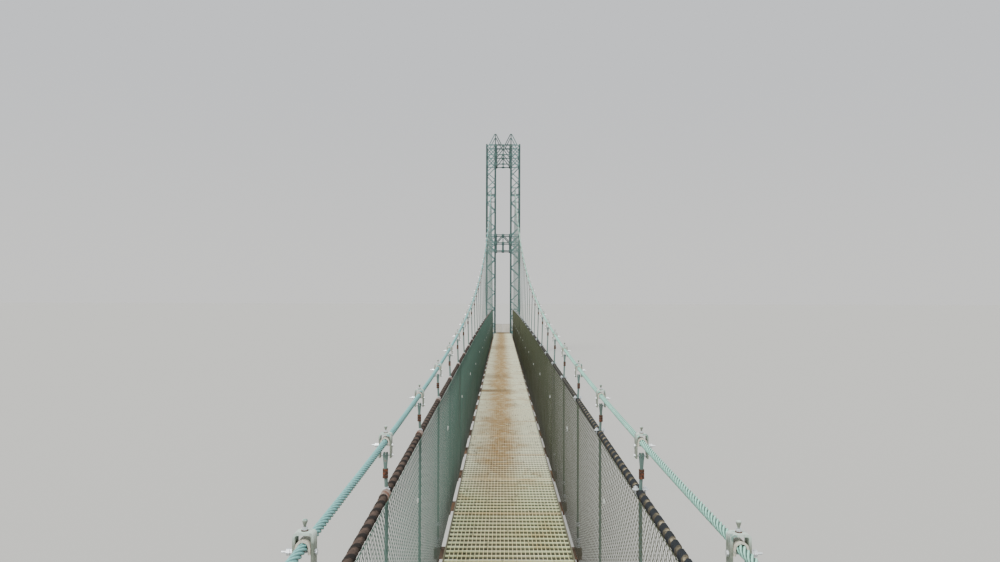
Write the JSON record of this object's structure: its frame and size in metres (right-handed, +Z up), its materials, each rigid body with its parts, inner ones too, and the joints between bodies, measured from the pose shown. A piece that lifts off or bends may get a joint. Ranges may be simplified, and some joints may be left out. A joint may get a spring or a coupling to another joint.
{
  "type": "rope suspension footbridge, scale model at 1:10",
  "caption": "Wire-rope suspension footbridge at 1:10: lattice towers, hanging cables, rod hangers, roped handrails, wire fences and a narrow grating deck.",
  "frame": {"origin": "on the floor, under mid-span, at the middle of the bridge's footprint", "axes": "+Y along the bridge towards the far tower, +X to the right seen from the near end, +Z up"},
  "size_m": [0.262, 10.86, 1.1928],
  "materials": {
    "painted_wire_rope": "pale blue-green paint over laid steel wire rope",
    "hanger_steel": "weathered teal paint with rust at the nuts",
    "rusty_frame_steel": "old brown paint and rust",
    "galvanised_grating": "galvanised, chalky, dusted with soil along the middle",
    "green_fence_wire": "thin green paint on woven wire",
    "brown_fence_wire": "dark brown-grey weathered wire",
    "tower_paint": "matt blue-green paint, faded and streaked",
    "saddle_steel": "worn galvanised steel",
    "concrete": "board-marked grey concrete with damp stains"
  },
  "bodies": {
    "root": {"left_main_cable": "painted_wire_rope", "left_handrail_and_hangers": "hanger_steel", "right_main_cable": "painted_wire_rope", "right_handrail_and_hangers": "hanger_steel", "deck_frame": "rusty_frame_steel", "deck_grating_1": "galvanised_grating", "left_fence_1": "green_fence_wire", "right_fence_1": "brown_fence_wire", "deck_grating_2": "galvanised_grating", "left_fence_2": "green_fence_wire", "right_fence_2": "brown_fence_wire", "deck_grating_3": "galvanised_grating", "left_fence_3": "green_fence_wire", "right_fence_3": "brown_fence_wire", "deck_grating_4": "galvanised_grating", "left_fence_4": "green_fence_wire", "right_fence_4": "brown_fence_wire", "deck_grating_5": "galvanised_grating", "left_fence_5": "green_fence_wire", "right_fence_5": "brown_fence_wire", "near_abutment": "concrete", "near_landing": "galvanised_grating", "near_lower_portal": "tower_paint", "near_upper_portal": "tower_paint", "near_left_leg": "tower_paint", "near_left_peak": "tower_paint", "near_left_saddle": "saddle_steel", "near_left_anchor": "concrete", "near_right_leg": "tower_paint", "near_right_peak": "tower_paint", "near_right_saddle": "saddle_steel", "near_right_anchor": "concrete", "far_abutment": "concrete", "far_landing": "galvanised_grating", "far_lower_portal": "tower_paint", "far_upper_portal": "tower_paint", "far_left_leg": "tower_paint", "far_left_peak": "tower_paint", "far_left_saddle": "saddle_steel", "far_left_anchor": "concrete", "far_right_leg": "tower_paint", "far_right_peak": "tower_paint", "far_right_saddle": "saddle_steel", "far_right_anchor": "concrete"}
  },
  "joints": []
}
